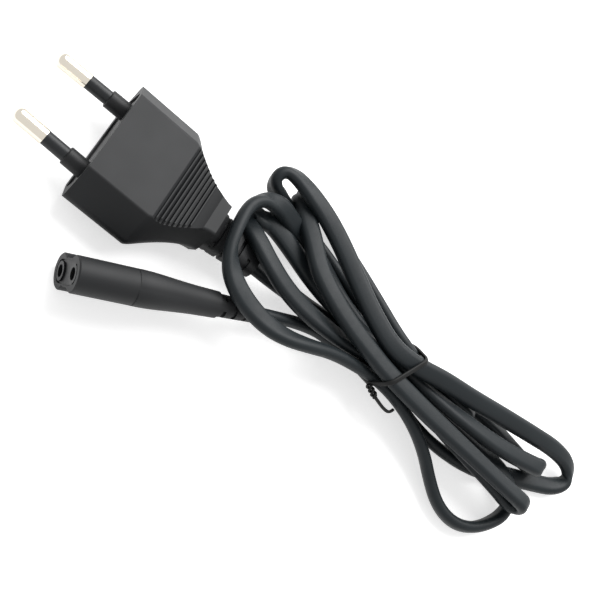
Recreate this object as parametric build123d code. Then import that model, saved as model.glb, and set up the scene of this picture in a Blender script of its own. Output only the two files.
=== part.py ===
from build123d import *
import os
from math import cos, hypot, pi, radians, sin, sqrt, tan

# Mains lead for a small appliance: a flat two-pin plug, a folded and tied hank of flat twin
# cord, and a two-hole appliance connector. Millimetres. X runs to the right, Y from the pins
# back towards the cord, Z up from the surface that everything lies on. The origin is on that
# surface, under the middle of the full-width part of the plug.

os.makedirs("parts", exist_ok=True)

# Cord: flat twin sheath over two round insulated cores
CORD_WIDTH = 5.2
CORD_THICK = 3.1
CORE_RADIUS = 1.02
CORE_HALF_PITCH = 1.04
STRAND_RADIUS = 0.55

# Plug moulding
PLUG_WIDTH = 35.3
PLUG_HEIGHT = 13.7
PLUG_BROAD_FACE = 23.0
PLUG_STRAIGHT = 16.8
PLUG_NECK = 15.2
PLUG_TAIL_WIDTH = 13.6
SHOULDER = 0.05
NECK_STATIONS = 10
PLUG_SIDE_RADIUS = 1.9
PLUG_EDGE_RADIUS = 0.9

# Finger grip on both broad faces of the plug: a shallow dish with thin ribs across it.
# The first rib stands so far into the dish, and the ribs stop just below the broad face.
GRIP_START = 0.9
GRIP_LENGTH = 11.2
GRIP_DEPTH = 1.7
RIB_COUNT = 8
RIB_PITCH = 1.08
RIB_FIRST = 0.97
RIB_BASE = 0.62
RIB_CREST = 0.26
RIB_HEIGHT = 0.95
RIB_ROOT = 0.6
RIB_BELOW_FACE = 0.05

# Strain relief of the plug: slots cut it into rings, which hang on a core and on spines that
# lie across it and upright in turn
RELIEF_WIDTH = 10.6
RELIEF_HEIGHT = 8.4
RELIEF_END_WIDTH = 7.0
RELIEF_END_HEIGHT = 5.4
RELIEF_LENGTH = 14.2
RELIEF_SLOT = 1.0
RELIEF_SLOT_COUNT = 4
RELIEF_FIRST_RING = 1.7
RELIEF_END_RING = 2.2
RELIEF_WALL = 0.7

# Shape of the rings, spines and cores of both reliefs, as shares of their own sections
RING_CORNER = 0.42
RING_CORE_CORNER = 0.45
SPINE_ACROSS = 0.55
SPINE_UPRIGHT = 0.42

# Pins: bare domed metal ends on thinner sleeved shanks, a little closer at the tips
PIN_RADIUS = 2.0
PIN_SHANK_RADIUS = 1.45
PIN_LENGTH = 19.0
PIN_BARE = 8.4
PIN_DOME = 1.5
PIN_PITCH_FACE = 18.6
PIN_PITCH_TIP = 17.8

# Pin carrier that shows between the pins in the plug's face, with a well at its back for the
# cores and a collar round the root of each pin
CARRIER_SIDE = 4.4
CARRIER_WIDTH = PIN_PITCH_FACE + 2 * CARRIER_SIDE
CARRIER_HEIGHT = 9.4
CARRIER_DEPTH = 8.6
CARRIER_RECESS = 0.5
CARRIER_CORNER = 2.2
WELL_WIDTH = 6.0
WELL_DEPTH = 3.0
WELL_WALL = 1.5
COLLAR_RADIUS = 2.3
COLLAR_LENGTH = 4.7
COLLAR_ROOT = 1.0
COLLAR_EDGE = 0.35
SLEEVE_RADIUS = 1.8
PIN_HEAD_RADIUS = 2.5
PIN_HEAD_THICK = 1.2
PIN_HEAD_BACK = 4.0
PIN_CUP_RADIUS = 1.5
PIN_CUP_BACK = 12.0
PIN_CUP_DEPTH = 3.2

# Cores inside the plug
PLUG_STRIP_BACK = 13.6
PLUG_SPLIT_Y = 12.6
PLUG_SPREAD_Y = 8.2
PLUG_CORE_BEND = 2.4
PLUG_SHEATH_Y = 25.0

# Appliance connector: a figure-of-eight nose, a tapering grip and its strain relief
HOLE_PITCH = 8.6
NOSE_RADIUS = 4.2
NOSE_WAIST = 6.5
NOSE_LENGTH = 14.0
NOSE_RIM = 0.3
CONNECTOR_LENGTH = 35.8
CONNECTOR_CORNER = 0.46
GRIP_SHOULDER_DROP = 0.7
GRIP_SHOULDER_THIN = 0.3
GRIP_WAIST_WIDTH = 13.4
GRIP_WAIST_THICK = 7.3
GRIP_WAIST_BACK = 25.0
GRIP_NECK_WIDTH = 10.6
GRIP_NECK_THICK = 6.7
CONNECTOR_TAIL_WIDTH = 9.0
CONNECTOR_TAIL_THICK = 6.3
CONNECTOR_RELIEF_LENGTH = 9.6
CONNECTOR_RELIEF_STEP = 0.5
CONNECTOR_RELIEF_STEP_THICK = 0.4
CONNECTOR_RELIEF_END_WIDTH = 6.9
CONNECTOR_RELIEF_END_THICK = 4.9
CONNECTOR_RELIEF_SLOT = 0.9
CONNECTOR_RELIEF_SLOT_COUNT = 3
CONNECTOR_RELIEF_FIRST_RING = 1.13
CONNECTOR_RELIEF_END_RING = 1.92
CONNECTOR_RELIEF_WALL = 0.6
CONNECTOR_X = 32.1
CONNECTOR_Y = 1.7
CONNECTOR_HEADING = 117.1
CONNECTOR_LEAN = 18.0

# Insert of the connector with its two socket contacts
INSERT_SIDE = 2.6
INSERT_WIDTH = HOLE_PITCH + 2 * INSERT_SIDE
INSERT_THICK = 5.4
INSERT_DEPTH = 17.0
INSERT_RECESS = 0.45
HOLE_RADIUS = 1.45
HOLE_RING_RADIUS = 2.25
HOLE_RING_ROOT = 0.2
HOLE_DEPTH = 3.4
CONTACT_RADIUS = 1.75
CONTACT_BORE_RADIUS = 1.2
CONTACT_LENGTH = 10.5
CONTACT_FLOOR = 1.0
CONTACT_SLIT = 0.5
CONTACT_SLIT_LENGTH = 6.0
CONTACT_CRIMP_RADIUS = 1.1
CONTACT_CRIMP_BACK = 19.5
CONTACT_CRIMP_DEPTH = 3.0
CONNECTOR_STRIP_BACK = 21.5
CONNECTOR_SPREAD_BACK = 23.6
CONNECTOR_SPLIT_BACK = 27.6
CONNECTOR_CORE_BEND = 1.1
CONNECTOR_SHEATH_BACK = 30.0

# Hank: one loop of it lies over both strain reliefs and clears them by these gaps
LOOP_OVER_PLUG = 1.15
LOOP_OVER_CONNECTOR = 3.9
LOOP_HEIGHT = 4.6
HANK_CORNER = 2.4

# Wire tie round the waist of the hank, its knot and its tail, which start at the band's end
TIE_X = -3.2
TIE_Y = 82.0
TIE_TURN = -25.0
TIE_WIDTH = 22.0
TIE_HEIGHT = 16.0
TIE_WIRE = 0.8
TIE_BAND = 1.0
TIE_CORNER = 1.5
TIE_KNOT_RADIUS = 0.95
TIE_KNOT_HEIGHT = 13.2
TIE_KNOT = (1.6, 2.6, -0.3)
TIE_TAIL = [(2.6, 5.0, -0.2), (2.2, 7.6, 0.1), (0.6, 7.8, 0.5)]
TIE_TAIL_ROOT = 0.5

face_y = -PLUG_STRAIGHT / 2
neck_y = PLUG_STRAIGHT / 2
tail_y = neck_y + PLUG_NECK
mid_z = PLUG_HEIGHT / 2


def across(y, z=mid_z, x=0.0):
    """Plane square to the plug's length: its own x is X and its own y is Z."""
    return Plane(origin=(x, y, z), x_dir=(1, 0, 0), z_dir=(0, -1, 0))


def flat_section(plane, width=CORD_WIDTH, thick=CORD_THICK):
    """Outline of the flat cord, its rounded edges as deep as it is thick."""
    return plane * SlotOverall(width, thick)


def bent_path(points):
    """Straight runs joined by arcs as large as the shorter of their two runs allows."""
    vectors = [Vector(*p) for p in points]
    runs = [b - a for a, b in zip(vectors, vectors[1:])]
    radii = []
    for before, after in zip(runs, runs[1:]):
        half_turn = radians(before.get_angle(after)) / 2
        radii.append(0.45 * min(before.length, after.length) / tan(half_turn))
    return FilletPolyline(*vectors, radius=radii), radii


def core_path(start, split, spread, end, bend):
    """Route of one insulated core from the sheath's end out to its terminal."""
    return FilletPolyline(Vector(*start), Vector(*split), Vector(*spread), Vector(*end), radius=bend)


def round_sweep(path, radius):
    """Round bar along a path."""
    return sweep(Plane(origin=path @ 0, z_dir=path % 0) * Circle(radius), path=path)


# Plug moulding

def plug_section(y, half_width):
    """Six-sided section: broad faces top and bottom, sides that meet in a blunt edge."""
    half_flat = half_width * PLUG_BROAD_FACE / PLUG_WIDTH
    slant = hypot(mid_z, half_width - half_flat)
    sharp = half_width + PLUG_SIDE_RADIUS * (slant / mid_z - 1)
    corners = [
        (sharp, 0),
        (half_flat, mid_z),
        (-half_flat, mid_z),
        (-sharp, 0),
        (-half_flat, -mid_z),
        (half_flat, -mid_z),
    ]
    radii = [PLUG_SIDE_RADIUS, PLUG_EDGE_RADIUS, PLUG_EDGE_RADIUS] * 2
    return across(y) * make_face(FilletPolyline(*corners, radius=radii, close=True))


def neck_half_width(t):
    """Half width of the plug along its neck, from the shoulder at 0 to the tail at 1."""
    rounded = (hypot(t, SHOULDER) - SHOULDER) / (hypot(1, SHOULDER) - SHOULDER)
    return (PLUG_TAIL_WIDTH + (PLUG_WIDTH - PLUG_TAIL_WIDTH) * (1 - rounded) ** 1.5) / 2


def slot_places(length, first_ring, end_ring, slot, count):
    """Starts of evenly spaced slots between the first and the last ring of a relief."""
    pitch = (length - first_ring - end_ring - slot) / (count - 1)
    return [first_ring + pitch * i for i in range(count)]


def relief_body(plane_at, sizes, slots, slot, core_width, core_thick, end_back):
    """Tapering strain relief cut by slots into rings that bend with the cord."""
    start, end = sizes
    body = loft([plane_at(0) * RectangleRounded(start[0], start[1], start[1] * RING_CORNER),
                 plane_at(end_back) * RectangleRounded(end[0], end[1], end[1] * RING_CORNER)])
    core_section = RectangleRounded(core_width, core_thick, core_thick * RING_CORE_CORNER)
    keep_across = True
    for back in slots:
        band = extrude(plane_at(back) * Rectangle(2 * start[0], 2 * start[1]), amount=-slot)
        if keep_across:
            spine = Rectangle(start[0] * 2, core_thick * SPINE_ACROSS)
        else:
            spine = Rectangle(core_width * SPINE_UPRIGHT, start[1] * 2)
        core = extrude(plane_at(back) * core_section, amount=-slot)
        bridge = extrude(plane_at(back) * spine, amount=-slot)
        body -= band - core - bridge
        keep_across = not keep_across
    return body


def grip_dish(side):
    """Cylinder that hollows the grip out of one broad face; side is 1 above and -1 below."""
    half = GRIP_LENGTH / 2
    radius = (half ** 2 + GRIP_DEPTH ** 2) / (2 * GRIP_DEPTH)
    z = mid_z + side * (mid_z + radius - GRIP_DEPTH)
    return Pos(0, neck_y + GRIP_START + half, z) * Rot(0, 90, 0) * Cylinder(radius, 2 * PLUG_WIDTH), radius


def grip_ribs(side, radius):
    """Thin ribs across the dish, each standing on the dish's own floor."""
    centre_y = neck_y + GRIP_START + GRIP_LENGTH / 2
    ribs = []
    for i in range(RIB_COUNT):
        y = neck_y + GRIP_START + RIB_FIRST + RIB_PITCH * i
        floor = mid_z + radius - GRIP_DEPTH - sqrt(radius ** 2 - (y - centre_y) ** 2)
        crest = min(floor + RIB_HEIGHT, mid_z - RIB_BELOW_FACE)
        outline = [
            (y - RIB_BASE / 2, mid_z + side * (floor - RIB_ROOT)),
            (y - RIB_CREST / 2, mid_z + side * crest),
            (y + RIB_CREST / 2, mid_z + side * crest),
            (y + RIB_BASE / 2, mid_z + side * (floor - RIB_ROOT)),
        ]
        plane = Plane(origin=(0, 0, 0), x_dir=(0, 1, 0), z_dir=(1, 0, 0))
        ribs.append(extrude(plane * Polygon(*outline, align=None), amount=PLUG_WIDTH, both=True))
    return ribs


def plug_outer():
    """Outside of the plug: straight part, neck with both grips, tail block."""
    straight = extrude(plug_section(face_y, PLUG_WIDTH / 2), amount=-PLUG_STRAIGHT)
    stations = [i / NECK_STATIONS for i in range(NECK_STATIONS + 1)]
    neck = loft([plug_section(neck_y + t * PLUG_NECK, neck_half_width(t)) for t in stations])
    blank = straight + neck
    body = blank
    for side in (1, -1):
        dish, radius = grip_dish(side)
        body -= dish
        for rib in grip_ribs(side, radius):
            body += rib & blank
    return body


def plug_relief():
    """Strain relief of the plug, behind its tail."""
    def plane_at(back):
        return across(tail_y + back)
    slots = slot_places(RELIEF_LENGTH, RELIEF_FIRST_RING, RELIEF_END_RING, RELIEF_SLOT, RELIEF_SLOT_COUNT)
    return relief_body(plane_at, ((RELIEF_WIDTH, RELIEF_HEIGHT), (RELIEF_END_WIDTH, RELIEF_END_HEIGHT)),
                       slots, RELIEF_SLOT, CORD_WIDTH + 2 * RELIEF_WALL, CORD_THICK + 2 * RELIEF_WALL,
                       RELIEF_LENGTH)


# Pins and what is moulded round them

def pin_plane(side):
    """Plane at the plug's face whose own z runs out along the pin; side is -1 left, 1 right."""
    base = Vector(side * PIN_PITCH_FACE / 2, face_y, mid_z)
    tip = Vector(side * PIN_PITCH_TIP / 2, face_y - PIN_LENGTH, mid_z)
    return Plane(origin=base, x_dir=(0, 0, 1), z_dir=tip - base)


def pin_point(side, back):
    """Point on a pin's axis, so far behind the plug's face."""
    point = pin_plane(side).from_local_coords(Vector(0, 0, -back))
    return (point.X, point.Y, point.Z)


def rod(plane, radius, low, high):
    """Cylinder on a plane's own z axis between two heights."""
    return extrude(plane.offset(low) * Circle(radius), amount=high - low)


def pin(side):
    plane = pin_plane(side)
    bare = rod(plane, PIN_RADIUS, PIN_LENGTH - PIN_BARE, PIN_LENGTH)
    bare = fillet(bare.edges().sort_by(lambda e: (e.center() - plane.origin).length)[-1:], radius=PIN_DOME)
    shank = rod(plane, PIN_SHANK_RADIUS, -PIN_HEAD_BACK, PIN_LENGTH - PIN_BARE)
    head = rod(plane, PIN_HEAD_RADIUS, -PIN_HEAD_BACK - PIN_HEAD_THICK, -PIN_HEAD_BACK)
    cup = rod(plane, PIN_CUP_RADIUS, -PIN_CUP_BACK, -PIN_HEAD_BACK - PIN_HEAD_THICK)
    hole = rod(plane, STRAND_RADIUS, -PIN_CUP_BACK, -PIN_CUP_BACK + PIN_CUP_DEPTH)
    return bare + shank + head + cup - hole


def pin_sleeve(side):
    plane = pin_plane(side)
    top = PIN_LENGTH - PIN_BARE
    return rod(plane, SLEEVE_RADIUS, COLLAR_LENGTH, top) - rod(plane, PIN_SHANK_RADIUS, COLLAR_LENGTH, top)


def carrier_section():
    """Outline of the carrier, which the pocket in the plug's face repeats."""
    return RectangleRounded(CARRIER_WIDTH, CARRIER_HEIGHT, CARRIER_CORNER)


def pin_carrier(pins):
    """Block that holds both pins, with their collars in front and the well behind."""
    block = extrude(across(face_y + CARRIER_RECESS) * carrier_section(), amount=-CARRIER_DEPTH)
    rear = across(face_y + CARRIER_RECESS + CARRIER_DEPTH)
    block -= extrude(rear * Rectangle(WELL_WIDTH, CARRIER_HEIGHT - 2 * WELL_WALL), amount=WELL_DEPTH)
    for side in (-1, 1):
        collar = rod(pin_plane(side), COLLAR_RADIUS, -CARRIER_RECESS - COLLAR_ROOT, COLLAR_LENGTH)
        edge = collar.edges().sort_by(Axis.Y)[:1]
        block += fillet(edge, radius=COLLAR_EDGE)
        block -= rod(pin_plane(side), PIN_CUP_RADIUS, -PIN_CUP_BACK, -PIN_HEAD_BACK)
    for metal in pins:
        block -= metal
    return block


def plug_conductor(side):
    plane = pin_plane(side)
    return rod(plane, STRAND_RADIUS, -PLUG_STRIP_BACK, -PIN_CUP_BACK + PIN_CUP_DEPTH)


def plug_core(side):
    end = pin_point(side, PLUG_STRIP_BACK)
    spread = pin_point(side, PLUG_SPREAD_Y - face_y)
    path = core_path((side * CORE_HALF_PITCH, PLUG_SHEATH_Y, mid_z),
                     (side * CORE_HALF_PITCH, PLUG_SPLIT_Y, mid_z), spread, end, PLUG_CORE_BEND)
    return round_sweep(path, CORE_RADIUS)


# Connector, built along its own axis: x through both holes, y through its thickness, z backwards

heading = radians(CONNECTOR_HEADING)
lean = radians(CONNECTOR_LEAN)
connector_z = HOLE_PITCH / 2 * cos(lean) + NOSE_RADIUS
connector_back = Vector(cos(heading), sin(heading), 0)
connector_across = Vector(sin(heading) * sin(lean), -cos(heading) * sin(lean), cos(lean))
connector_plane = Plane(origin=(CONNECTOR_X, CONNECTOR_Y, connector_z),
                        x_dir=connector_across, z_dir=connector_back)


def connector_point(back, x=0.0):
    point = connector_plane.from_local_coords(Vector(x, 0, back))
    return (point.X, point.Y, point.Z)


def hole_plane(side):
    """Plane at the connector's face on one hole's axis; side is -1 for the lower hole, 1 for the upper."""
    return Plane(origin=connector_point(0, side * HOLE_PITCH / 2), x_dir=connector_across,
                 z_dir=connector_back)


def nose_section(radius, waist):
    """Figure of eight round the two holes, its waist a little thinner."""
    shape = Rectangle(HOLE_PITCH, waist)
    for side in (-1, 1):
        shape += Pos(side * HOLE_PITCH / 2, 0) * Circle(radius)
    return shape


def connector_grip():
    """Grip that narrows from the nose to a waist and on to the tail."""
    width = HOLE_PITCH + 2 * NOSE_RADIUS
    thick = 2 * NOSE_RADIUS
    stations = [
        (NOSE_LENGTH, width, thick),
        ((NOSE_LENGTH + GRIP_WAIST_BACK) / 2, width - GRIP_SHOULDER_DROP, thick - GRIP_SHOULDER_THIN),
        (GRIP_WAIST_BACK, GRIP_WAIST_WIDTH, GRIP_WAIST_THICK),
        ((GRIP_WAIST_BACK + CONNECTOR_LENGTH) / 2, GRIP_NECK_WIDTH, GRIP_NECK_THICK),
        (CONNECTOR_LENGTH, CONNECTOR_TAIL_WIDTH, CONNECTOR_TAIL_THICK),
    ]
    return loft([connector_plane.offset(back) * RectangleRounded(wide, deep, deep * CONNECTOR_CORNER)
                 for back, wide, deep in stations])


def connector_relief():
    """Strain relief of the connector, a step smaller than its tail."""
    def plane_at(back):
        plane = connector_plane.offset(CONNECTOR_LENGTH + back)
        return Plane(origin=plane.origin, x_dir=plane.x_dir, z_dir=-plane.z_dir)
    slots = slot_places(CONNECTOR_RELIEF_LENGTH, CONNECTOR_RELIEF_FIRST_RING, CONNECTOR_RELIEF_END_RING,
                        CONNECTOR_RELIEF_SLOT, CONNECTOR_RELIEF_SLOT_COUNT)
    start = (CONNECTOR_TAIL_WIDTH - 2 * CONNECTOR_RELIEF_STEP,
             CONNECTOR_TAIL_THICK - 2 * CONNECTOR_RELIEF_STEP_THICK)
    end = (CONNECTOR_RELIEF_END_WIDTH, CONNECTOR_RELIEF_END_THICK)
    return relief_body(plane_at, (start, end), slots, CONNECTOR_RELIEF_SLOT,
                       CORD_WIDTH + 2 * CONNECTOR_RELIEF_WALL, CORD_THICK + 2 * CONNECTOR_RELIEF_WALL,
                       CONNECTOR_RELIEF_LENGTH)


def connector_outer():
    """Outside of the connector: figure-of-eight nose, grip and strain relief."""
    nose = extrude(connector_plane * nose_section(NOSE_RADIUS, NOSE_WAIST), amount=NOSE_LENGTH)
    rim = nose.faces().sort_by(lambda f: (f.center() - connector_plane.origin).length)[0].edges()
    nose = chamfer(rim, length=NOSE_RIM)
    return nose + connector_grip() + connector_relief()


def contact(side):
    """Rolled socket with a slit mouth and a crimp at its back."""
    plane = hole_plane(side)
    end = HOLE_DEPTH + CONTACT_LENGTH
    tube = rod(plane, CONTACT_RADIUS, HOLE_DEPTH, end)
    tube -= rod(plane, CONTACT_BORE_RADIUS, HOLE_DEPTH, end - CONTACT_FLOOR)
    slit_box = plane.offset(HOLE_DEPTH) * Rectangle(CONTACT_SLIT, 3 * CONTACT_RADIUS)
    tube -= extrude(slit_box, amount=CONTACT_SLIT_LENGTH)
    crimp = rod(plane, CONTACT_CRIMP_RADIUS, end, CONTACT_CRIMP_BACK)
    hole = rod(plane, STRAND_RADIUS, CONTACT_CRIMP_BACK - CONTACT_CRIMP_DEPTH, CONTACT_CRIMP_BACK)
    return tube + crimp - hole


def insert():
    """Front insert: a recessed face with a raised ring round each hole, and two chambers."""
    at = connector_plane.offset
    face = at(INSERT_RECESS) * SlotOverall(INSERT_WIDTH, INSERT_THICK)
    block = extrude(face, amount=INSERT_DEPTH - INSERT_RECESS)
    for side in (-1, 1):
        plane = hole_plane(side)
        block += rod(plane, HOLE_RING_RADIUS, 0, INSERT_RECESS + HOLE_RING_ROOT)
        block -= rod(plane, HOLE_RADIUS, 0, HOLE_DEPTH)
        block -= rod(plane, CONTACT_RADIUS, HOLE_DEPTH, HOLE_DEPTH + CONTACT_LENGTH)
        block -= rod(plane, CONTACT_CRIMP_RADIUS, HOLE_DEPTH + CONTACT_LENGTH, INSERT_DEPTH)
    return block


def connector_conductor(side):
    plane = hole_plane(side)
    return rod(plane, STRAND_RADIUS, CONTACT_CRIMP_BACK - CONTACT_CRIMP_DEPTH, CONNECTOR_STRIP_BACK)


def connector_core(side):
    path = core_path(connector_point(CONNECTOR_SHEATH_BACK, side * CORE_HALF_PITCH),
                     connector_point(CONNECTOR_SPLIT_BACK, side * CORE_HALF_PITCH),
                     connector_point(CONNECTOR_SPREAD_BACK, side * HOLE_PITCH / 2),
                     connector_point(CONNECTOR_STRIP_BACK, side * HOLE_PITCH / 2), CONNECTOR_CORE_BEND)
    return round_sweep(path, CORE_RADIUS)


# Cord: the two stretches that aren't folded, from inside each moulding to the hank

PLUG_CORD = [(0.0, PLUG_SHEATH_Y, mid_z), (0.0, 42.0, mid_z), (-1.4, 58.5, 2.5)]
CONNECTOR_CORD = [connector_point(CONNECTOR_SHEATH_BACK), connector_point(47.4), (4.4, 60.0, 3.0)]


def cord_tube(points, x_dir):
    """Flat cord along a route, its broad side along x_dir where it starts."""
    path, radii = bent_path(points)
    start = Plane(origin=path @ 0, x_dir=x_dir, z_dir=path % 0)
    tube = sweep(flat_section(start), path=path)
    area = CORD_THICK * (CORD_WIDTH - CORD_THICK) + pi * CORD_THICK ** 2 / 4
    print("cord radii", [round(r, 1) for r in radii], "length", round(path.length, 1),
          "volume over section times length", round(tube.volume / (area * path.length), 4))
    return tube


# Hank: rounded sections along its length, wide at both fans and narrow at the tie.
# Each row is Y, the left and right edges in X, and the height.

HANK_FAN = [
    (58.0, -26.6, 8.0, 13.0),
    (70.0, -18.6, 7.6, 14.6),
    (79.0, -13.4, 6.2, 15.2),
    (86.0, -12.4, 6.0, 15.2),
    (96.0, -13.2, 8.2, 14.6),
    (108.0, -13.2, 14.4, 12.4),
    (119.0, -17.0, 20.6, 11.0),
    (131.0, -20.0, 15.4, 10.0),
    (143.0, -20.4, 3.4, 8.6),
    (151.6, -17.6, -9.4, 6.4),
]
HANK_FOLDS = [
    (28.6, -25.4, -12.0, 8.6),
    (33.0, -29.6, -8.6, 10.8),
    (45.0, -30.6, -4.4, 11.4),
    (58.0, -26.6, -4.4, 12.4),
]
LOOP_OUTLINE = [
    (8.0, 60.0),
    (14.0, 53.0),
    (15.4, 46.0),
    (13.6, 39.0),
    (11.0, 33.0),
    (6.0, 26.8),
    (-4.0, 24.2),
    (-12.8, 27.0),
    (-16.6, 34.0),
    (-14.0, 46.0),
    (-12.0, 60.0),
]
loop_bottom = max(mid_z + RELIEF_HEIGHT / 2 + LOOP_OVER_PLUG, connector_z + LOOP_OVER_CONNECTOR)


def hank_section(y, left, right, height):
    """Rounded section of the bundle, standing on the surface."""
    plane = across(y, height / 2, (left + right) / 2)
    return plane * RectangleRounded(right - left, height, HANK_CORNER)


def hank():
    """The bundle with its folded near side, and the loop that lies over the strain reliefs."""
    body = loft([hank_section(*row) for row in HANK_FAN], ruled=True)
    body += loft([hank_section(*row) for row in HANK_FOLDS], ruled=True)
    with BuildSketch(Plane.XY.offset(loop_bottom)) as loop:
        with BuildLine():
            edge = Spline(*LOOP_OUTLINE)
            Line(edge @ 1, edge @ 0)
        make_face()
    slab = extrude(loop.sketch, amount=LOOP_HEIGHT)
    return body + slab


tie_plane = Plane(origin=(TIE_X, TIE_Y, 0), x_dir=(cos(radians(TIE_TURN)), sin(radians(TIE_TURN)), 0),
                  z_dir=(sin(radians(TIE_TURN)), -cos(radians(TIE_TURN)), 0))


def tie_band():
    """Flat-sheathed wire drawn round the waist."""
    at_middle = tie_plane * Pos(0, TIE_HEIGHT / 2)
    outer = at_middle * RectangleRounded(TIE_WIDTH, TIE_HEIGHT, TIE_CORNER + TIE_WIRE)
    inner = at_middle * RectangleRounded(TIE_WIDTH - 2 * TIE_WIRE, TIE_HEIGHT - 2 * TIE_WIRE, TIE_CORNER)
    return extrude(outer - inner, amount=TIE_BAND / 2, both=True)


def tie_tail():
    """Twisted knot beside the band and the curled tail above the cord."""
    start = tie_plane.from_local_coords(Vector(TIE_WIDTH / 2, TIE_KNOT_HEIGHT, 0))
    along = Vector(*TIE_KNOT)
    knot = rod(Plane(origin=start, z_dir=along), TIE_KNOT_RADIUS, 0, along.length)
    root = start + along - along.normalized() * TIE_TAIL_ROOT
    line = Spline(root, *[start + Vector(*step) for step in TIE_TAIL])
    tail = sweep(Plane(origin=line @ 0, z_dir=line % 0) * Circle(TIE_WIRE / 2), path=line)
    return knot + tail


plug_body = plug_outer() + plug_relief()
pin_left = pin(-1)
pin_right = pin(1)
carrier = pin_carrier([pin_left, pin_right])
sleeve_left = pin_sleeve(-1)
sleeve_right = pin_sleeve(1)
plug_conductors = [plug_conductor(-1), plug_conductor(1)]
plug_cores = [plug_core(-1), plug_core(1)]
plug_tube = cord_tube(PLUG_CORD, (1, 0, 0))

connector_body = connector_outer()
front_insert = insert()
contacts = [contact(-1), contact(1)]
connector_conductors = [connector_conductor(-1), connector_conductor(1)]
connector_cores = [connector_core(-1), connector_core(1)]
connector_tube = cord_tube(CONNECTOR_CORD, connector_across)

tie = tie_band() + tie_tail()
hank_body = hank() - tie
plug_tube -= hank_body
connector_tube -= hank_body

plug_body -= extrude(across(face_y) * carrier_section(), amount=-CARRIER_RECESS)
for piece in [carrier, pin_left, pin_right, *plug_conductors, *plug_cores, plug_tube]:
    plug_body -= piece
connector_body -= extrude(connector_plane * SlotOverall(INSERT_WIDTH, INSERT_THICK), amount=INSERT_DEPTH)
for piece in [*contacts, *connector_conductors, *connector_cores, connector_tube]:
    connector_body -= piece

nodes = {
    "plug_body": plug_body,
    "plug_pin_carrier": carrier,
    "plug_pin_left": pin_left,
    "plug_pin_right": pin_right,
    "plug_pin_sleeve_left": sleeve_left,
    "plug_pin_sleeve_right": sleeve_right,
    "plug_conductor_left": plug_conductors[0],
    "plug_conductor_right": plug_conductors[1],
    "plug_core_left": plug_cores[0],
    "plug_core_right": plug_cores[1],
    "connector_body": connector_body,
    "connector_insert": front_insert,
    "connector_contact_lower": contacts[0],
    "connector_contact_upper": contacts[1],
    "connector_conductor_lower": connector_conductors[0],
    "connector_conductor_upper": connector_conductors[1],
    "connector_core_lower": connector_cores[0],
    "connector_core_upper": connector_cores[1],
    "cord_plug_end": plug_tube,
    "cord_hank": hank_body,
    "cord_connector_end": connector_tube,
    "twist_tie": tie,
}
for name, shape in nodes.items():
    export_step(shape, f"parts/{name}.step")
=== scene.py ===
# %% [markdown]
# A mains lead for a small appliance: a flat two-pin plug, about a metre of flat twin cord
# folded into a hank and tied, and a two-hole appliance connector. The plug, the connector and
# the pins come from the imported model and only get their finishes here. The cord and the wire
# tie are made in this script, in metres, in the model's own frame.

# %% Load the frame
import math

import bmesh
import bpy
from mathutils import Matrix, Vector


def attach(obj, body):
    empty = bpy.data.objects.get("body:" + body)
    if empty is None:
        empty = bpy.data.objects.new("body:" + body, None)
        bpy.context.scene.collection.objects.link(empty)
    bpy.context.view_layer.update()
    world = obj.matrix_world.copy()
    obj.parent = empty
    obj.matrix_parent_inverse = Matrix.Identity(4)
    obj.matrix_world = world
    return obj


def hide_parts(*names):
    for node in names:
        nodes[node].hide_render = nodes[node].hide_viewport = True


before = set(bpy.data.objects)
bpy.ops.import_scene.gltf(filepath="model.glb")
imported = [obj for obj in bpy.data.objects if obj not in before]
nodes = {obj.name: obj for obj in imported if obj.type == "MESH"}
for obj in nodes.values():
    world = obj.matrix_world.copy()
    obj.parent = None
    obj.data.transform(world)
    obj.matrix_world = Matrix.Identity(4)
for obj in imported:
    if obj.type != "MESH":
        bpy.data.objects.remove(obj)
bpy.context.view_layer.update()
MM = 0.001
scene = bpy.context.scene
print("nodes loaded:", len(nodes))

# %% [markdown]
# The camera is set first. Its place was worked out from the plug's known sizes: the pins'
# tips, the corners of the front face and the far end of the hank. A camera in Blender looks
# along its own -Z, with +Y up in the picture, so its three axes make up the matrix.

# %% Camera
CAMERA_AT = Vector((129.6, -35.4, 231.6)) * MM
CAMERA_RIGHT = Vector((-0.4319, 0.7265, 0.5345))
CAMERA_UP = Vector((-0.7666, -0.6079, 0.2069))
CAMERA_BACK = Vector((0.4752, -0.3203, 0.8195))
IMAGE_SIZE = 600
FOCAL_PIXELS = 1121.3
SENSOR_WIDTH = 36.0
CLIP_NEAR = 0.01
CLIP_FAR = 10.0

camera = bpy.data.objects.new("camera", bpy.data.cameras.new("camera"))
scene.collection.objects.link(camera)
axes = Matrix((CAMERA_RIGHT, CAMERA_UP, CAMERA_BACK)).transposed().to_4x4()
camera.matrix_world = Matrix.Translation(CAMERA_AT) @ axes
camera.data.sensor_width = SENSOR_WIDTH
camera.data.lens = SENSOR_WIDTH * FOCAL_PIXELS / IMAGE_SIZE
camera.data.clip_start = CLIP_NEAR
camera.data.clip_end = CLIP_FAR
scene.camera = camera
print("lens in mm:", round(camera.data.lens, 1))

# %% [markdown]
# The cord is one flat twin lead, and it was laid to and fro through the tie, so its line is one
# spline: plug, through the tie, far lobe, through the tie, near lobe, and so on to the
# connector. Each point holds x, y, z in millimetres and a roll in degrees for the flat section:
# 30 stands on edge with the hank's own lean, and 90 lies flat. Where the cord doubles back
# tightly, a function works out the points of the fold from its centre and radius. The first two
# points and the last two are those of the modelled tubes, on the axes of plug and connector.

# %% A fold of the hank
FOLD_STEPS = 4


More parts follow.
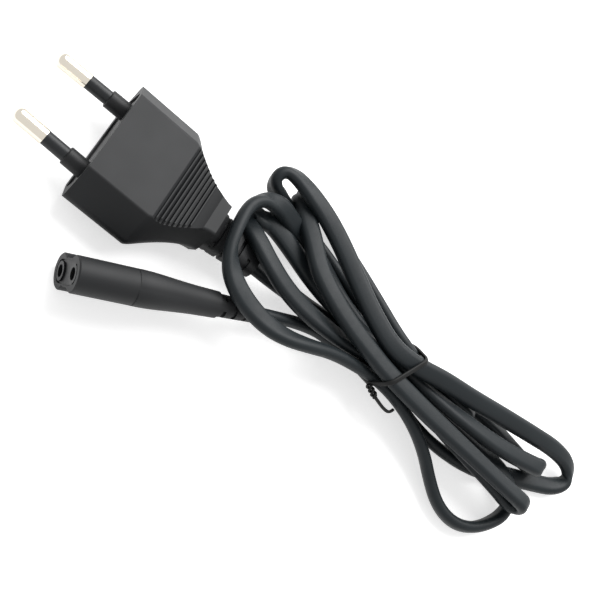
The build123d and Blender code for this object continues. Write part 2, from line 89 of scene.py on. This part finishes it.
def fold(centre, outward, towards, radius, roll):
    """Points round a fold: it runs outward, turns towards the second leg and comes back."""
    outward = Vector(outward).normalized()
    towards = Vector(towards)
    towards = (towards - towards.dot(outward) * outward).normalized()
    points = []
    for step in range(FOLD_STEPS + 1):
        angle = math.pi * (step / FOLD_STEPS - 0.5)
        place = Vector(centre) + radius * (math.cos(angle) * outward + math.sin(angle) * towards)
        points.append((*place, roll))
    return points


# %% [markdown]
# The lobes come next. Near lobes lie towards the plug and far lobes beyond the tie. Their legs
# were placed on the photograph, one strand after another, with the heights that their
# crossings need: the strand that passes over another one is a cord's thickness higher there.

# %% Route of the cord
plug_end = [
    (0.0, 25.0, 6.85, 90), (0.0, 42.0, 6.85, 75), (-2.4, 53.5, 3.6, 50), (-4.2, 62.0, 2.8, 35),
    (-4.2, 70.5, 3.0, 30), (-3.7, 78.5, 3.3, 30), (-3.5, 86.0, 3.3, 30)]
far_lobe_wide = [
    (-3.9, 94.0, 3.0, 30), (-3.6, 104.0, 2.9, 30), (-3.2, 113.0, 3.2, 40), (-2.4, 121.5, 4.2, 70),
    (-0.6, 129.0, 5.0, 90), (2.6, 134.0, 4.4, 80), (7.6, 135.0, 3.0, 35), (13.0, 131.4, 2.7, 15),
    (17.2, 126.4, 2.7, 10), (18.8, 120.6, 2.7, 15), (17.4, 114.6, 2.8, 25), (13.6, 108.8, 3.8, 30),
    (9.8, 103.0, 5.8, 30), (6.8, 96.0, 7.6, 32), (4.2, 88.0, 8.1, 33), (3.2, 80.0, 8.0, 33)]
near_lobe_over_plug = [
    (4.8, 72.2, 9.2, 33), (7.4, 64.5, 11.2, 33), (11.0, 57.5, 13.0, 38), (13.6, 51.0, 13.8, 55),
    (14.4, 44.6, 14.2, 80), (13.2, 37.9, 14.2, 95), (10.3, 32.2, 14.2, 85), (5.4, 28.4, 14.2, 45),
    (-1.0, 27.0, 14.2, 8), (-7.4, 26.8, 13.8, 8), (-12.2, 29.6, 13.0, 50), (-14.8, 34.4, 11.6, 92),
    (-15.3, 39.9, 8.4, 98), (-15.7, 47.4, 5.4, 95), (-14.0, 56.0, 3.9, 55), (-10.2, 66.0, 3.2, 30),
    (-7.8, 76.5, 3.2, 30), (-7.2, 87.0, 3.3, 30)]
far_lobe_short = [
    (-7.4, 96.0, 3.1, 30), (-7.4, 103.0, 2.9, 40),
    *fold((-7.4, 109.0, 4.8), (0, 1, 0), (0, 0, 1), 2.1, 60),
    (-7.8, 103.0, 6.6, 40), (-8.0, 96.0, 7.6, 30), (-8.2, 88.0, 8.6, 30), (-10.2, 79.4, 9.0, 30)]
near_lobe_tucked = [
    (-15.0, 72.6, 6.6, 30), (-20.0, 65.0, 4.2, 30), (-23.8, 57.0, 3.0, 30), (-26.2, 49.0, 2.9, 30),
    (-26.0, 43.4, 3.1, 40), (-25.2, 40.0, 4.6, 60), (-23.8, 39.2, 6.6, 75), (-21.6, 41.2, 7.9, 88),
    (-18.0, 43.3, 9.0, 91), (-14.3, 46.2, 10.3, 92), (-8.1, 51.1, 11.5, 92), (-3.8, 57.8, 12.5, 92),
    (-0.9, 64.8, 12.9, 92), (1.0, 72.0, 13.0, 88), (2.5, 79.0, 12.8, 86), (3.4, 87.0, 12.8, 92)]
far_lobe_top = [
    (4.4, 96.0, 12.9, 92), (4.8, 106.0, 12.6, 78), (5.3, 117.0, 12.2, 70), (5.7, 126.0, 11.8, 70),
    *fold((5.8, 132.2, 9.2), (0, 1, -0.1), (0, 0, -1), 2.5, 78),
    (4.8, 126.0, 7.2, 80), (4.0, 117.0, 7.4, 60), (3.0, 107.0, 7.6, 50), (1.4, 97.0, 7.8, 40),
    (-0.8, 87.5, 7.9, 35), (-0.8, 77.5, 7.9, 38)]
near_lobe_inner = [
    (0.8, 70.0, 8.2, 50), (1.8, 63.6, 9.0, 65), (2.7, 54.6, 10.2, 76), (2.0, 46.0, 11.3, 80),
    (-0.4, 39.0, 11.9, 80), (-3.6, 33.6, 11.4, 75),
    *fold((-8.5, 31.6, 8.3), (-0.75, -1, -0.3), (-1, 0.75, -0.1), 2.4, 66),
    (-12.1, 36.4, 7.3, 98), (-10.5, 44.0, 6.7, 98), (-8.0, 52.1, 6.4, 98), (-5.9, 60.7, 6.6, 80),
    (-5.0, 70.5, 7.2, 50), (-4.6, 79.5, 7.9, 32), (-3.9, 88.0, 8.2, 32)]
far_lobe_middle = [
    (-2.6, 98.5, 9.4, 50), (-2.6, 109.5, 10.2, 68), (-3.4, 119.2, 9.8, 78), (-5.2, 127.6, 9.0, 82),
    *fold((-7.9, 134.8, 6.0), (-0.4, 1, -0.1), (-0.35, 0, -1), 2.6, 84),
    (-9.8, 129.8, 3.1, 75), (-11.6, 120.8, 2.9, 60), (-11.6, 110.0, 3.0, 45), (-11.4, 98.0, 3.3, 35),
    (-11.2, 87.5, 3.8, 30), (-11.2, 79.0, 3.7, 30)]
near_lobe_outer = [
    (-13.0, 70.0, 3.4, 30), (-16.4, 60.0, 2.9, 30), (-19.2, 50.0, 2.9, 30), (-20.2, 41.0, 3.6, 20),
    (-20.2, 34.8, 5.8, 5), (-20.2, 31.5, 7.8, 2), (-22.0, 30.0, 9.6, 15), (-24.4, 31.4, 10.3, 35),
    (-24.9, 35.0, 10.7, 60), (-23.5, 40.2, 11.1, 85), (-21.4, 46.4, 11.3, 98), (-17.6, 53.4, 11.8, 102),
    (-12.2, 61.4, 12.3, 104), (-7.0, 69.2, 13.2, 104), (-3.2, 77.6, 13.7, 106), (-3.7, 86.5, 13.7, 108)]
far_lobe_outer = [
    (-6.2, 95.0, 12.9, 110), (-8.6, 106.0, 11.2, 110), (-11.6, 118.0, 9.6, 108),
    (-14.4, 130.0, 8.0, 105), (-16.8, 140.5, 6.4, 98), (-17.0, 148.0, 4.6, 80),
    (-13.6, 151.0, 2.9, 60), (-9.2, 147.4, 2.4, 75), (-6.2, 140.2, 2.0, 85), (-2.8, 132.0, 1.8, 88),
    (1.0, 123.6, 2.0, 80), (3.8, 115.0, 2.6, 45), (4.8, 106.5, 3.0, 30), (3.8, 97.5, 3.1, 30),
    (0.9, 88.5, 3.2, 30), (0.2, 78.0, 3.2, 30)]
connector_end = [
    (0.2, 67.0, 2.8, 30), (1.8, 58.5, 4.2, 35), (10.51, 43.9, 8.29, 18), (18.43, 28.41, 8.29, 18)]

LOBES = [far_lobe_wide, near_lobe_over_plug, far_lobe_short, near_lobe_tucked, far_lobe_top,
         near_lobe_inner, far_lobe_middle, near_lobe_outer, far_lobe_outer]
route = list(plug_end)
for lobe in LOBES:
    route += lobe
route += connector_end
print("control points:", len(route), "in", len(LOBES), "lobes")

# %% [markdown]
# A spline object with no bevel gives the points of its own line when it is turned into a mesh.
# The roll goes through a second spline of the same kind, so that the section turns as smoothly
# as the line does. The order is set after the points are there, because before that it would
# fall back to straight runs.

# %% Points along the cord
LINE_STEPS = 12
SPLINE_ORDER = 3
DEGREES_PER_UNIT = 100


def smooth_points(rows):
    """Points of a second-degree spline through control rows of three numbers."""
    data = bpy.data.curves.new("line", "CURVE")
    data.dimensions = "3D"
    data.resolution_u = LINE_STEPS
    spline = data.splines.new("NURBS")
    spline.points.add(len(rows) - 1)
    for point, row in zip(spline.points, rows):
        point.co = (*row, 1.0)
    spline.order_u = SPLINE_ORDER
    spline.use_endpoint_u = True
    holder = bpy.data.objects.new("line", data)
    scene.collection.objects.link(holder)
    mesh = bpy.data.meshes.new_from_object(holder)
    points = [vertex.co.copy() for vertex in mesh.vertices]
    bpy.data.objects.remove(holder)
    bpy.data.meshes.remove(mesh)
    return points


line = smooth_points([tuple(c * MM for c in row[:3]) for row in route])
rolls = [p.x for p in smooth_points([(row[3] / DEGREES_PER_UNIT, 0.0, 0.0) for row in route])]

# %% [markdown]
# The sheath is pressed out of a die over two cores that run side by side, so its section is the
# same everywhere: two half rounds joined by flat sides. A bevel on a curve would be quicker, but
# it can't follow the roll, so each point of the line gets its own ring. The ring's long way is
# the roll's direction with the part along the line taken off.

# %% Rings of the sheath
CORD_WIDTH = 5.2 * MM
CORD_THICK = 3.1 * MM
HANK_LEAN = -0.25
EDGE_STEPS = 9


def flat_outline(width, thick):
    """Outline of a flat section: first number across its width, second across its thickness."""
    reach = (width - thick) / 2
    outline = []
    for side, start in ((1, -90), (-1, 90)):
        for step in range(EDGE_STEPS):
            angle = math.radians(start + 180 * step / (EDGE_STEPS - 1))
            outline.append((side * reach + thick / 2 * math.cos(angle), thick / 2 * math.sin(angle)))
    return outline


def directions(points):
    """Unit direction of a line at each of its points."""
    last = len(points) - 1
    return [(points[min(i + 1, last)] - points[max(i - 1, 0)]).normalized() for i in range(last + 1)]


outline = flat_outline(CORD_WIDTH, CORD_THICK)
rings = []
for point, along, roll in zip(line, directions(line), rolls):
    turn = math.radians(roll * DEGREES_PER_UNIT)
    wide = Vector((math.sin(turn), HANK_LEAN, math.cos(turn)))
    wide = (wide - wide.dot(along) * along).normalized()
    flat = along.cross(wide)
    rings.append([point + a * wide + b * flat for a, b in outline])
print("lowest point of the cord in mm:", round(min(p.z for ring in rings for p in ring) / MM, 2))

# %% [markdown]
# The rings are joined by quads into one skin, closed at both ends, which lie inside the
# mouldings. The same helper makes the tie later, where the last ring meets the first one.

# %% Skin over rings


def skin(name, rings, closed=False):
    """Object whose faces join neighbouring rings of points."""
    mesh = bmesh.new()
    rows = [[mesh.verts.new(p) for p in ring] for ring in rings]
    around = len(rows[0])
    pairs = list(zip(rows, rows[1:]))
    if closed:
        pairs.append((rows[-1], rows[0]))
    for near, far in pairs:
        for i in range(around):
            j = (i + 1) % around
            mesh.faces.new((near[i], near[j], far[j], far[i]))
    if not closed:
        mesh.faces.new(rows[0][::-1])
        mesh.faces.new(rows[-1])
    bmesh.ops.recalc_face_normals(mesh, faces=mesh.faces)
    data = bpy.data.meshes.new(name)
    mesh.to_mesh(data)
    mesh.free()
    data.polygons.foreach_set("use_smooth", [True] * len(data.polygons))
    piece = bpy.data.objects.new(name, data)
    scene.collection.objects.link(piece)
    return piece


sheath = skin("cord_sheath", rings)
print("triangles in the sheath:", sum(len(p.vertices) - 2 for p in sheath.data.polygons))

# %% [markdown]
# The sheath stands for the three plain cord solids of the model. Nothing on this object moves
# against anything else, so every piece rides on the one body.

# %% Place of the sheath in the model
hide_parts("cord_plug_end", "cord_hank", "cord_connector_end")
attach(sheath, "root")

# %% [markdown]
# The tie is a wire in a thin flat jacket, drawn round the waist of the hank and twisted. Drawn
# tight, it takes the shape of a rubber band round the strands, so the outline is worked out as
# one: every strand is cut by the tie's plane, and the band follows the convex hull of the cuts,
# rounded where the wire can't bend sharply. The plane isn't upright: its top leans away from the
# plug, as the tie in the photograph does.

# %% Strands under the tie
TIE_AT = Vector((0.0, 77.8, 0.0)) * MM
TIE_TURN = math.radians(-25)
TIE_LEAN = math.radians(20)
TIE_WIDE = Vector((math.cos(TIE_TURN), math.sin(TIE_TURN), 0.0))
TIE_AHEAD = Vector((-math.sin(TIE_TURN), math.cos(TIE_TURN), 0.0))
TIE_UP = Vector((0.0, 0.0, math.cos(TIE_LEAN))) + math.sin(TIE_LEAN) * TIE_AHEAD
TIE_NORMAL = TIE_UP.cross(TIE_WIDE)

cuts = []
for near_ring, far_ring in zip(rings, rings[1:]):
    for a, b in zip(near_ring, far_ring):
        before = (a - TIE_AT).dot(TIE_NORMAL)
        after = (b - TIE_AT).dot(TIE_NORMAL)
        if before * after < 0:
            cut = a.lerp(b, before / (before - after)) - TIE_AT
            cuts.append((cut.dot(TIE_WIDE), cut.dot(TIE_UP)))
print("strands in the tie:", len(cuts) // len(outline))


def hull(points):
    """Convex outline round points of two numbers, against the clock."""
    points = sorted(set(points))
    halves = []
    for run_of in (points, points[::-1]):
        half = []
        for p in run_of:
            while len(half) > 1 and ((half[-1][0] - half[-2][0]) * (p[1] - half[-2][1])
                                     - (half[-1][1] - half[-2][1]) * (p[0] - half[-2][0])) <= 0:
                half.pop()
            half.append(p)
        halves += half[:-1]
    return halves


# %% [markdown]
# The hull's corners come at uneven steps. They are read off again at even steps, averaged with
# their neighbours twice and moved out by half the wire's own thickness. If the band would then
# reach below the table, all of it is lifted.

# %% Band of the tie
TIE_THICK = 0.7 * MM
TIE_FLAT = 1.3 * MM
BAND_STEPS = 96
BAND_EASING = 2
MIDDLE_WEIGHT = 2


def even_steps(corners, count):
    """Points at even steps round a closed outline."""
    sides = [(Vector(b) - Vector(a)).length for a, b in zip(corners, corners[1:] + corners[:1])]
    total = sum(sides)
    places = []
    for k in range(count):
        rest = total * k / count
        i = 0
        while rest > sides[i]:
            rest -= sides[i]
            i += 1
        places.append(Vector(corners[i]).lerp(Vector(corners[(i + 1) % len(corners)]), rest / sides[i]))
    return places


band = even_steps(hull(cuts), BAND_STEPS)
for _ in range(BAND_EASING):
    band = [(band[k - 1] + MIDDLE_WEIGHT * band[k] + band[(k + 1) % BAND_STEPS]) / (2 + MIDDLE_WEIGHT)
            for k in range(BAND_STEPS)]
outward = []
for k in range(BAND_STEPS):
    side = (band[(k + 1) % BAND_STEPS] - band[k - 1]).normalized()
    outward.append(Vector((side.y, -side.x)))
band = [p + TIE_THICK * 0.5 * out for p, out in zip(band, outward)]
lift = max(0.0, TIE_THICK * 0.5 - min(p.y for p in band))
places = [TIE_AT + p.x * TIE_WIDE + (p.y + lift) * TIE_UP for p in band]
band_rings = []
for place, out in zip(places, outward):
    away = out.x * TIE_WIDE + out.y * TIE_UP
    band_rings.append([place + a * TIE_NORMAL + b * away for a, b in flat_outline(TIE_FLAT, TIE_THICK)])
tie_band = skin("tie_band", band_rings, closed=True)
print("band round the hank in mm:", round(sum((b - a).length for a, b in zip(band, band[1:])) / MM, 1))

# %% [markdown]
# Its two ends are twisted round each other, and the longer one curls away. The knot starts where
# the band reaches furthest to the side. The twist is two helices of the same wire, and the tail
# is a spline through a few points.

# %% Knot and tail of the tie
KNOT_RUN = Vector((1.6, 3.3, 0.0)) * MM
KNOT_TURNS = 1.6
KNOT_RADIUS = 0.5 * MM
KNOT_STEPS = 40
WIRE_WIDE = 1.0 * MM
WIRE_THICK = 0.75 * MM
TAIL = [(0.0, 0.0, 0.0), (0.6, 1.6, 0.1), (1.1, 3.6, 0.1), (0.9, 5.6, 0.0), (-0.5, 6.1, 0.0)]


def wire_rings(points, wide_way):
    """Rings of the tie's jacket along a line, its flat side turned towards a direction."""
    result = []
    for point, along in zip(points, directions(points)):
        wide = (wide_way - wide_way.dot(along) * along).normalized()
        flat = along.cross(wide)
        result.append([point + a * wide + b * flat for a, b in flat_outline(WIRE_WIDE, WIRE_THICK)])
    return result


knot_from = max(places, key=lambda place: place.dot(TIE_WIDE)) + KNOT_RADIUS * TIE_WIDE
knot_to = knot_from + KNOT_RUN
knot_axis = KNOT_RUN.normalized()
knot_side = knot_axis.orthogonal().normalized()
knot_up = knot_axis.cross(knot_side)
tie_parts = [tie_band]
for strand in (0, 1):
    helix = []
    for step in range(KNOT_STEPS):
        share = step / (KNOT_STEPS - 1)
        angle = math.tau * (KNOT_TURNS * share + strand / 2)
        swing = KNOT_RADIUS * (math.cos(angle) * knot_side + math.sin(angle) * knot_up)
        helix.append(knot_from + share * KNOT_RUN + swing)
    tie_parts.append(skin(f"tie_twist_{strand + 1}", wire_rings(helix, knot_axis.orthogonal())))
tail_line = smooth_points([tuple(knot_to + Vector(row) * MM) for row in TAIL])
tie_parts.append(skin("tie_tail", wire_rings(tail_line, Vector((0, 0, 1)))))
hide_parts("twist_tie")
for piece in tie_parts:
    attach(piece, "root")
print("pieces of the tie:", len(tie_parts))

# %% [markdown]

# %% [markdown]
# Two helpers serve all materials. One turns a colour as a picture program writes it into the
# linear numbers that a shader works with. The other adds a node, sets its inputs and joins it
# to the nodes before it.

# %% Helpers for materials


def hex_colour(code):
    """Linear colour from an sRGB hex value."""
    shares = [int(code[i:i + 2], 16) / 255 for i in (1, 3, 5)]
    linear = [s / 12.92 if s <= 0.04045 else ((s + 0.055) / 1.055) ** 2.4 for s in shares]
    return (*linear, 1.0)


def add(tree, kind, settings=None, links=None):
    """Add a node: settings are its input values or its own options, links come from other nodes."""
    node = tree.nodes.new(kind)
    for key, value in (settings or {}).items():
        if key in node.inputs:
            node.inputs[key].default_value = value
        else:
            setattr(node, key, value)
    for key, source in (links or {}).items():
        tree.links.new(source, node.inputs[key])
    return node


def new_material(name, settings):
    """Material with one shader; settings go on the shader's own inputs."""
    material = bpy.data.materials.new(name)
    material.use_nodes = True
    tree = material.node_tree
    tree.nodes.clear()
    shader = add(tree, "ShaderNodeBsdfPrincipled", settings)
    add(tree, "ShaderNodeOutputMaterial", links={"Surface": shader.outputs["BSDF"]})
    return material, tree, shader


def per_metre(size):
    """Scale of a pattern whose features are so many millimetres apart."""
    return 1 / (size * MM)


# %% [markdown]
# Plasticised PVC is what the sheath and both mouldings are made of. Carbon black makes it a
# deep grey that is a little blue, never quite black. The sheath comes out of a polished die, so
# it has a satin gloss with a faint ripple along it, while the mouldings copy a blasted tool
# and scatter the light more.

# %% Extruded PVC
PLASTIC_IOR = 1.53
SHEATH_COLOUR = "#13181B"
SHEATH_WORN = "#1A2023"
SHEATH_SPECULAR = 0.22
SHEATH_ROUGH = (0.42, 0.54)
RIPPLE = 7.0
RIPPLE_DETAIL = 1.0
HAZE = 1.6
HAZE_DETAIL = 3.0
HAZE_DEPTH = 0.02
HAZE_STRENGTH = 0.25

sheath_pvc, tree, shader = new_material(
    "extruded_pvc", {"IOR": PLASTIC_IOR, "Specular IOR Level": SHEATH_SPECULAR})
where = add(tree, "ShaderNodeTexCoord").outputs["Object"]
haze = add(tree, "ShaderNodeTexNoise", {"Scale": per_metre(HAZE), "Detail": HAZE_DETAIL},
           {"Vector": where})
ripple = add(tree, "ShaderNodeTexNoise", {"Scale": per_metre(RIPPLE), "Detail": RIPPLE_DETAIL},
             {"Vector": where})
tint = add(tree, "ShaderNodeMix", {"data_type": "RGBA"}, {"Factor": ripple.outputs["Fac"]})
tint.inputs["A"].default_value = hex_colour(SHEATH_COLOUR)
tint.inputs["B"].default_value = hex_colour(SHEATH_WORN)
gloss = add(tree, "ShaderNodeMapRange", {"To Min": SHEATH_ROUGH[0], "To Max": SHEATH_ROUGH[1]},
            {"Value": haze.outputs["Fac"]})
bump = add(tree, "ShaderNodeBump", {"Strength": HAZE_STRENGTH, "Distance": HAZE_DEPTH * MM},
           {"Height": haze.outputs["Fac"]})
tree.links.new(tint.outputs["Result"], shader.inputs["Base Color"])
tree.links.new(gloss.outputs["Result"], shader.inputs["Roughness"])
tree.links.new(bump.outputs["Normal"], shader.inputs["Normal"])
print("finish of the sheath:", sheath_pvc.name, "with", len(tree.nodes), "nodes")

# %% [markdown]
# A moulding tool for a plug is blasted with grit, which leaves a grain of about a tenth of a
# millimetre. It is drawn a little coarser here, so that it shows as a soft scatter of light. The
# sleeves, the tie and the cores come out smoother, so their grain is shallow.

# %% Moulded PVC
MOULDING_SPECULAR = 0.25
GRAIN = 0.18
GRAIN_DETAIL = 2.0
GRAIN_STRENGTH = 0.3
SHALLOW_GRAIN = 0.006
CLOUD = 5.0
CLOUD_DETAIL = 2.0


def moulded(name, colour, worn, rough, grain_depth=SHALLOW_GRAIN):
    """Grained moulding with slightly uneven colour and gloss; rough holds its two ends."""
    material, tree, shader = new_material(
        name, {"IOR": PLASTIC_IOR, "Specular IOR Level": MOULDING_SPECULAR})
    where = add(tree, "ShaderNodeTexCoord").outputs["Object"]
    cloud = add(tree, "ShaderNodeTexNoise", {"Scale": per_metre(CLOUD), "Detail": CLOUD_DETAIL},
                {"Vector": where})
    grain = add(tree, "ShaderNodeTexNoise", {"Scale": per_metre(GRAIN), "Detail": GRAIN_DETAIL},
                {"Vector": where})
    tint = add(tree, "ShaderNodeMix", {"data_type": "RGBA"}, {"Factor": cloud.outputs["Fac"]})
    tint.inputs["A"].default_value = hex_colour(colour)
    tint.inputs["B"].default_value = hex_colour(worn)
    gloss = add(tree, "ShaderNodeMapRange", {"To Min": rough[0], "To Max": rough[1]},
                {"Value": cloud.outputs["Fac"]})
    bump = add(tree, "ShaderNodeBump", {"Strength": GRAIN_STRENGTH, "Distance": grain_depth * MM},
               {"Height": grain.outputs["Fac"]})
    tree.links.new(tint.outputs["Result"], shader.inputs["Base Color"])
    tree.links.new(gloss.outputs["Result"], shader.inputs["Roughness"])
    tree.links.new(bump.outputs["Normal"], shader.inputs["Normal"])
    return material


moulding_pvc = moulded("moulded_pvc", "#191A1C", "#202122", rough=(0.5, 0.6), grain_depth=0.02)
carrier_plastic = moulded("moulded_polyamide", "#121314", "#17181A", rough=(0.4, 0.5),
                          grain_depth=0.01)
sleeve_plastic = moulded("moulded_sleeve", "#1B1D1F", "#212325", rough=(0.3, 0.38))
tie_plastic = moulded("tie_jacket_pvc", "#050606", "#080909", rough=(0.5, 0.6))
core_brown = moulded("core_insulation_brown", "#5A3A22", "#644329", rough=(0.4, 0.48))
core_blue = moulded("core_insulation_blue", "#27527E", "#2F5C88", rough=(0.4, 0.48))

# %% [markdown]
# The pins are brass under bright nickel. The plating is smooth, and handling leaves fine lines
# along it, so the gloss varies in streaks that are long along the pin and narrow round it.

# %% Nickel-plated brass
STREAK_ROUND = 0.35
STREAK_LONG = 6.0
STREAK_DETAIL = 3.0


def plated(name, colour, rough):
    """Polished metal whose gloss varies in streaks along Y; rough holds its two ends."""
    material, tree, shader = new_material(name, {"Metallic": 1.0, "Base Color": hex_colour(colour)})
    where = add(tree, "ShaderNodeTexCoord").outputs["Object"]
    scale = (per_metre(STREAK_ROUND), per_metre(STREAK_LONG), per_metre(STREAK_ROUND))
    stretched = add(tree, "ShaderNodeMapping", {"Scale": scale}, {"Vector": where})
    streak = add(tree, "ShaderNodeTexNoise", {"Scale": 1.0, "Detail": STREAK_DETAIL},
                 {"Vector": stretched.outputs["Vector"]})
    gloss = add(tree, "ShaderNodeMapRange", {"To Min": rough[0], "To Max": rough[1]},
                {"Value": streak.outputs["Fac"]})
    tree.links.new(gloss.outputs["Result"], shader.inputs["Roughness"])
    return material


nickel_pin = plated("nickel_plated_brass", "#DDD6C9", rough=(0.1, 0.2))
contact_brass = plated("stamped_brass", "#D9B25C", rough=(0.24, 0.36))
copper_strand = plated("drawn_copper", "#D08A5B", rough=(0.26, 0.38))
print("finishes made:", len(bpy.data.materials))

# %% [markdown]
# Every node of the model gets its finish by name, and so do the pieces made here.

# %% Finishes on the pieces
FINISHES = {
    "plug_body": moulding_pvc, "connector_body": moulding_pvc, "plug_pin_carrier": carrier_plastic,
    "connector_insert": carrier_plastic, "plug_pin_sleeve": sleeve_plastic, "plug_pin": nickel_pin,
    "plug_conductor": copper_strand, "connector_conductor": copper_strand,
    "connector_contact": contact_brass, "plug_core_left": core_brown, "plug_core_right": core_blue,
    "connector_core_lower": core_brown, "connector_core_upper": core_blue, "cord_": sheath_pvc,
    "twist_tie": tie_plastic,
}


def finish(piece, material):
    """Give a piece one material."""
    piece.data.materials.clear()
    piece.data.materials.append(material)


for name, node in nodes.items():
    key = max((start for start in FINISHES if name.startswith(start)), key=len)
    finish(node, FINISHES[key])
    print(name, "has", FINISHES[key].name)
finish(sheath, sheath_pvc)
for piece in tie_parts:
    finish(piece, tie_plastic)

# %% [markdown]
# The set is a white table with one broad lamp, up on the side away from the connector, and a
# bright room all round. The table adds white for the camera and for reflections, so that it
# stays white while the object keeps a plain level of light and still drops a soft shadow. It
# lies a little below zero, clear of the faces that rest there.

# %% Table and light
WHITE = (1.0, 1.0, 1.0, 1.0)
TABLE_SIZE = 4.0
TABLE_COLOUR = "#E6E6E6"
TABLE_ROUGH = 0.9
TABLE_GLOW = 0.62
TABLE_DROP = 0.05 * MM
ROOM_LEVEL = 0.5
ROOM_SEEN = 1.0
LAMP_AT = Vector((-420.0, 120.0, 520.0)) * MM
LAMP_SIZE = 0.7
LAMP_POWER = 7.0
LOOK_AT = Vector((0.0, 60.0, 5.0)) * MM


def seen_directly(tree):
    """1 for rays from the camera, from mirrors and through glass, 0 for the light itself."""
    path = add(tree, "ShaderNodeLightPath")
    straight = add(tree, "ShaderNodeMath", {"operation": "MAXIMUM"})
    tree.links.new(path.outputs["Is Camera Ray"], straight.inputs[0])
    tree.links.new(path.outputs["Is Glossy Ray"], straight.inputs[1])
    total = add(tree, "ShaderNodeMath", {"operation": "MAXIMUM"})
    tree.links.new(straight.outputs["Value"], total.inputs[0])
    tree.links.new(path.outputs["Is Transmission Ray"], total.inputs[1])
    return total.outputs["Value"]


table_paper, tree, shader = new_material("table_paper", {"Roughness": TABLE_ROUGH})
shader.inputs["Base Color"].default_value = hex_colour(TABLE_COLOUR)
shader.inputs["Emission Color"].default_value = WHITE
glow = add(tree, "ShaderNodeMath", {"operation": "MULTIPLY"})
tree.links.new(seen_directly(tree), glow.inputs[0])
glow.inputs[1].default_value = TABLE_GLOW
tree.links.new(glow.outputs["Value"], shader.inputs["Emission Strength"])

bpy.ops.mesh.primitive_plane_add(size=TABLE_SIZE, location=(0, 0, -TABLE_DROP))
table_top = bpy.context.object
table_top.name = "table_top"
finish(table_top, table_paper)

world = bpy.data.worlds.new("room")
scene.world = world
world.use_nodes = True
tree = world.node_tree
tree.nodes.clear()
level = add(tree, "ShaderNodeMapRange", {"To Min": ROOM_LEVEL, "To Max": ROOM_SEEN},
            {"Value": seen_directly(tree)})
sky = add(tree, "ShaderNodeBackground", {"Color": WHITE}, {"Strength": level.outputs["Result"]})
add(tree, "ShaderNodeOutputWorld", links={"Surface": sky.outputs["Background"]})

lamp_data = bpy.data.lights.new("window_lamp", "AREA")
lamp_data.shape = "DISK"
lamp_data.size = LAMP_SIZE
lamp_data.energy = LAMP_POWER
lamp = bpy.data.objects.new("window_lamp", lamp_data)
scene.collection.objects.link(lamp)
lamp.location = LAMP_AT
lamp.rotation_euler = (LOOK_AT - LAMP_AT).to_track_quat("-Z", "Y").to_euler()
scene.view_settings.view_transform = "Standard"
print("distance of the lamp in m:", round((LOOK_AT - LAMP_AT).length, 2))
